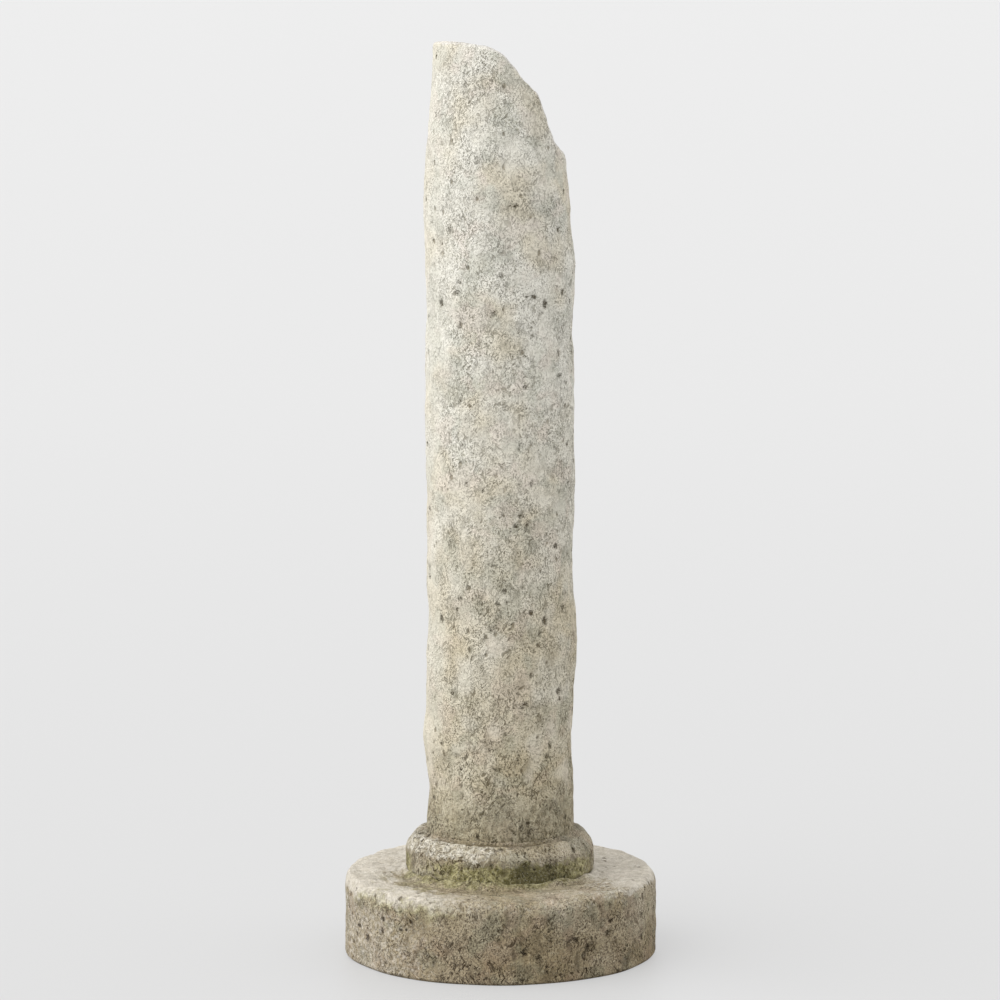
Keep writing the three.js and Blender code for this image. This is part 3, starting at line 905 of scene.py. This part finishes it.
def stone_material(name, groups, look):
    """Weathered stone: mottled colour, with painted shade in its creases, dents, pits and joints
    and painted highlights on its crumbs, smoother where it is worn or calm, stained towards the
    ground, with soil and moss where the piece's own masks say. Its worn colour also paints light
    on the lit side of the torus and plinth. The look gives the colours and the strength of each
    effect."""
    look = {key: srgb(*value) if isinstance(value, tuple) else value
            for key, value in look.items()}
    material = bpy.data.materials.new(name)
    material.use_nodes = True
    n = Nodes(material.node_tree)
    at = n.put("ShaderNodeTexCoord").outputs["Object"]

    def group(kind, **inputs):
        return n.put("ShaderNodeGroup", {"node_tree": groups[kind]}, **inputs).outputs

    def mask(mask_name):
        return n.put("ShaderNodeAttribute", {"attribute_name": mask_name}).outputs["Fac"]

    def patch(kind):
        made = group("patch", Vector=at, Mask=mask(kind), Dark=look[kind + "_dark"],
                     Light=look[kind + "_light"])
        return n.times(made["Amount"], look[kind]), made["Colour"]

    relief = group("relief", Vector=at)
    pits = group("pits", Vector=at, Mask=mask("pit"))
    colour = group("mottling", Vector=at,
                   **{name: look[name.lower()] for name in MOTTLING})["Colour"]
    stain = group("stain", Vector=at, From=look["stain_from"], To=look["stain_to"])["Amount"]
    stain = n.times(stain, look["stain"])
    colour = n.mix(stain, colour, look["stain_colour"], "MULTIPLY")
    worn, worn_colour = patch("worn")
    kept = n.less(1.0, n.times(worn, look["smoothed"]))
    if "calm" in look:
        calm = n.times(mask("calm"), look["calm"])
        kept = n.times(kept, n.less(1.0, calm))
        colour = n.mix(calm, colour, look["calm_colour"])
    colour = n.mix(worn, colour, worn_colour)
    for kind in ("soil", "moss"):
        if kind in look:
            amount, patch_colour = patch(kind)
            colour = n.mix(amount, colour, patch_colour)
    if "deep" in look:
        colour = n.mix(n.times(mask("dark"), look["deep"]), colour, look["deep_colour"])
    # Painted shade: darker in the relief's strokes, the dents and streaks, and the dish round each
    # pit, and more so lower down where the stain is
    shade = n.times(relief["Dark"], look["crease"])
    shade = n.most(shade, n.times(mask("hollow"), look["hollow"]))
    shade = n.times(shade, n.ramp(stain, 0.0, 0.85, 0.9, 1.25))
    shade = n.times(shade, kept, clamp=True)
    shade = n.most(shade, n.times(pits["Halo"], 0.45))
    colour = n.mix(shade, colour, look["crease_shade_colour"], "MULTIPLY")
    # Painted highlights on the raised crumbs, fewer where the stone is worn or calm
    light = n.times(n.times(relief["Light"], kept), look["light"])
    colour = n.mix(light, colour, look["highlight_colour"], "SCREEN")
    # Painted shade in the pits, and painted shade with some dirt along the joints
    holes = n.most(pits["Pit"], n.times(mask("joint_dirt_and_shade"), look["joint_dirt_and_shade"]))
    colour = n.mix(holes, colour, look["hole_shade_colour"], "MULTIPLY")
    rough = n.ramp(n.plus(relief["Height"], shade), 0.4, 2.2, 0.80, 0.97)
    height = n.times(n.less(relief["Height"], RELIEF_MIDDLE), kept)
    height = n.less(height, n.times(pits["Pit"], PIT_DROP))
    bump = n.put("ShaderNodeBump", Height=height, Strength=1.0,
                 Distance=look["bump_distance"])
    shader = n.put("ShaderNodeBsdfPrincipled", Base_Color=colour, Roughness=rough,
                   Normal=bump.outputs[0], Specular_IOR_Level=STONE_SHINE)
    n.put("ShaderNodeOutputMaterial", Surface=shader.outputs[0])
    return material


def srgb(red, green, blue):
    """A colour given as it looks on a screen, 0 to 255, turned into linear light."""
    def linear(value):
        value = value / 255.0
        return value / 12.92 if value <= 0.04045 else ((value + 0.055) / 1.055) ** 2.4
    return (linear(red), linear(green), linear(blue), 1.0)


# Looks of the three stones: colours as they look on a screen, among them the painted shade in
# creases, dents, pits and joints, the painted highlights, and worn colours that also paint light
# on the torus and plinth; the heights between which the ground stain fades, the strength of each
# effect, and the height of the fine relief
SHAFT_LOOK = {
    "pale": (233, 230, 219), "beige": (222, 214, 194), "pink": (229, 218, 206),
    "grey": (202, 202, 189), "speck": (160, 156, 136),
    "stain_from": 0.30, "stain_to": 1.42, "stain": 0.85, "stain_colour": (213, 203, 180),
    "worn": 0.6, "worn_dark": (198, 194, 191), "worn_light": (218, 214, 209),
    "smoothed": 0.45, "calm": 0.55, "calm_colour": (204, 200, 188),
    "soil": 0.6, "soil_dark": (128, 118, 92), "soil_light": (172, 164, 140),
    "crease": 0.84, "hollow": 0.3, "crease_shade_colour": (116, 110, 91),
    "light": 0.36, "highlight_colour": (160, 157, 144),
    "joint_dirt_and_shade": 0.55, "hole_shade_colour": (150, 142, 124), "bump_distance": 0.0045,
}
TORUS_LOOK = {
    "pale": (206, 198, 180), "beige": (188, 177, 150), "pink": (193, 179, 160),
    "grey": (177, 176, 161), "speck": (132, 125, 104),
    "stain_from": 0.1, "stain_to": 1.0, "stain": 0.6, "stain_colour": (220, 210, 190),
    "worn": 0.74, "worn_dark": (200, 191, 169), "worn_light": (253, 248, 235),
    "smoothed": 0.0,
    "soil": 0.8, "soil_dark": (118, 108, 74), "soil_light": (160, 148, 112),
    "crease": 1.0, "hollow": 0.5, "crease_shade_colour": (110, 99, 75),
    "light": 0.50, "highlight_colour": (170, 166, 156),
    "joint_dirt_and_shade": 0.8, "hole_shade_colour": (140, 130, 108), "bump_distance": 0.0075,
    "moss": 0.82, "moss_dark": (122, 117, 56), "moss_light": (206, 199, 146),
    "deep": 0.8, "deep_colour": (72, 66, 30),
}
PLINTH_LOOK = {
    "pale": (210, 199, 176), "beige": (190, 177, 147), "pink": (196, 177, 155),
    "grey": (174, 172, 150), "speck": (116, 106, 82),
    "stain_from": 0.0, "stain_to": 0.32, "stain": 0.75, "stain_colour": (194, 182, 160),
    "worn": 0.9, "worn_dark": (185, 178, 165), "worn_light": (205, 199, 188),
    "smoothed": 0.75,
    "soil": 0.66, "soil_dark": (130, 118, 88), "soil_light": (168, 155, 124),
    "crease": 0.95, "hollow": 0.45, "crease_shade_colour": (98, 86, 66),
    "light": 0.50, "highlight_colour": (166, 158, 140),
    "joint_dirt_and_shade": 0.6, "hole_shade_colour": (134, 122, 100), "bump_distance": 0.0075,
    "moss": 0.70, "moss_dark": (120, 114, 64), "moss_light": (186, 180, 136),
}


# The floor: how far it reaches, its own grey, how rough it is, how strongly it glows, and the
# glow's distances from the column with what it is there
FLOOR_REACH = 400.0
FLOOR_GREY = 0.165
FLOOR_ROUGHNESS = 0.55
FLOOR_GLOW_STRENGTH = 0.452
FLOOR_GLOW = (-2.0, 14.0, 0.93, 0.995)


def make_floor():
    """A wide pale floor that reaches past everything the camera sees. It glows a little, more
    so away from the column, so that shadows on it stay faint and it is palest far off."""
    mesh = bpy.data.meshes.new("floor")
    corners = [(x * FLOOR_REACH, y * FLOOR_REACH, GROUND)
               for x, y in ((-1, -1), (1, -1), (1, 1), (-1, 1))]
    mesh.from_pydata(corners, [], [(0, 1, 2, 3)])
    floor = add_object("floor", mesh)
    material = bpy.data.materials.new("pale floor")
    material.use_nodes = True
    n = Nodes(material.node_tree)
    at = n.put("ShaderNodeTexCoord").outputs["Object"]
    away = n.put("ShaderNodeVectorMath", {"operation": "LENGTH"}, Vector=at).outputs["Value"]
    glow = n.ramp(away, *FLOOR_GLOW)
    shader = n.put("ShaderNodeBsdfPrincipled", Roughness=FLOOR_ROUGHNESS,
                   Base_Color=(FLOOR_GREY, FLOOR_GREY, FLOOR_GREY, 1.0),
                   Emission_Color=glow, Emission_Strength=FLOOR_GLOW_STRENGTH)
    n.put("ShaderNodeOutputMaterial", Surface=shader.outputs[0])
    mesh.materials.append(material)


# The light: the surround, and each lamp's strength, spread, azimuth and elevation in degrees
SURROUND_STRENGTH = 1.09
LAMPS = (("key", 2.95, 75.0, -72.0, 44.0), ("rim", 0.75, 60.0, 100.0, 40.0))


def make_light():
    """Soft studio light: an even surround, a broad key from the upper left and a weak one
    from the right."""
    world = bpy.data.worlds.new("studio")
    bpy.context.scene.world = world
    world.use_nodes = True
    n = Nodes(world.node_tree)
    back = n.put("ShaderNodeBackground", Strength=SURROUND_STRENGTH)
    n.put("ShaderNodeOutputWorld", Surface=back.outputs[0])
    for name, strength, spread, azimuth, elevation in LAMPS:
        light = bpy.data.lights.new(name, "SUN")
        light.energy = strength
        light.angle = math.radians(spread)
        lamp = add_object(name, light)
        # A lamp shines down its own -Z, so it is tipped by its angle from the zenith and
        # turned to its side: azimuth 0 is in front, and it grows to the right.
        lamp.rotation_euler = (math.radians(90.0 - elevation), 0.0, math.radians(azimuth))


# The camera: how far in front of the axis and how high it stands, how far it looks down, and
# its focal length as a multiple of the picture's width
CAMERA_DISTANCE = 10.343
CAMERA_HEIGHT = 2.486
CAMERA_TILT = 7.533
FOCAL_SHARE = 4.2776
SENSOR = 36.0


def make_camera():
    """The camera at the photograph's viewing angle."""
    camera = bpy.data.cameras.new("camera")
    camera.sensor_width = SENSOR
    camera.lens = FOCAL_SHARE * SENSOR
    camera.clip_end = 2000.0
    holder = add_object("camera", camera)
    holder.location = (0.0, -CAMERA_DISTANCE, CAMERA_HEIGHT)
    holder.rotation_euler = (math.radians(90.0 - CAMERA_TILT), 0.0, 0.0)
    bpy.context.scene.camera = holder


GROUPS = {"mottling": mottling_group(), "relief": relief_group(), "pits": pit_group(),
          "patch": patch_group(), "stain": stain_group()}
make_shaft(stone_material("shaft stone", GROUPS, SHAFT_LOOK))
make_torus(stone_material("torus stone", GROUPS, TORUS_LOOK))
make_plinth(stone_material("plinth stone", GROUPS, PLINTH_LOOK))
make_floor()
make_light()
make_camera()
bpy.context.scene.view_settings.view_transform = "Standard"
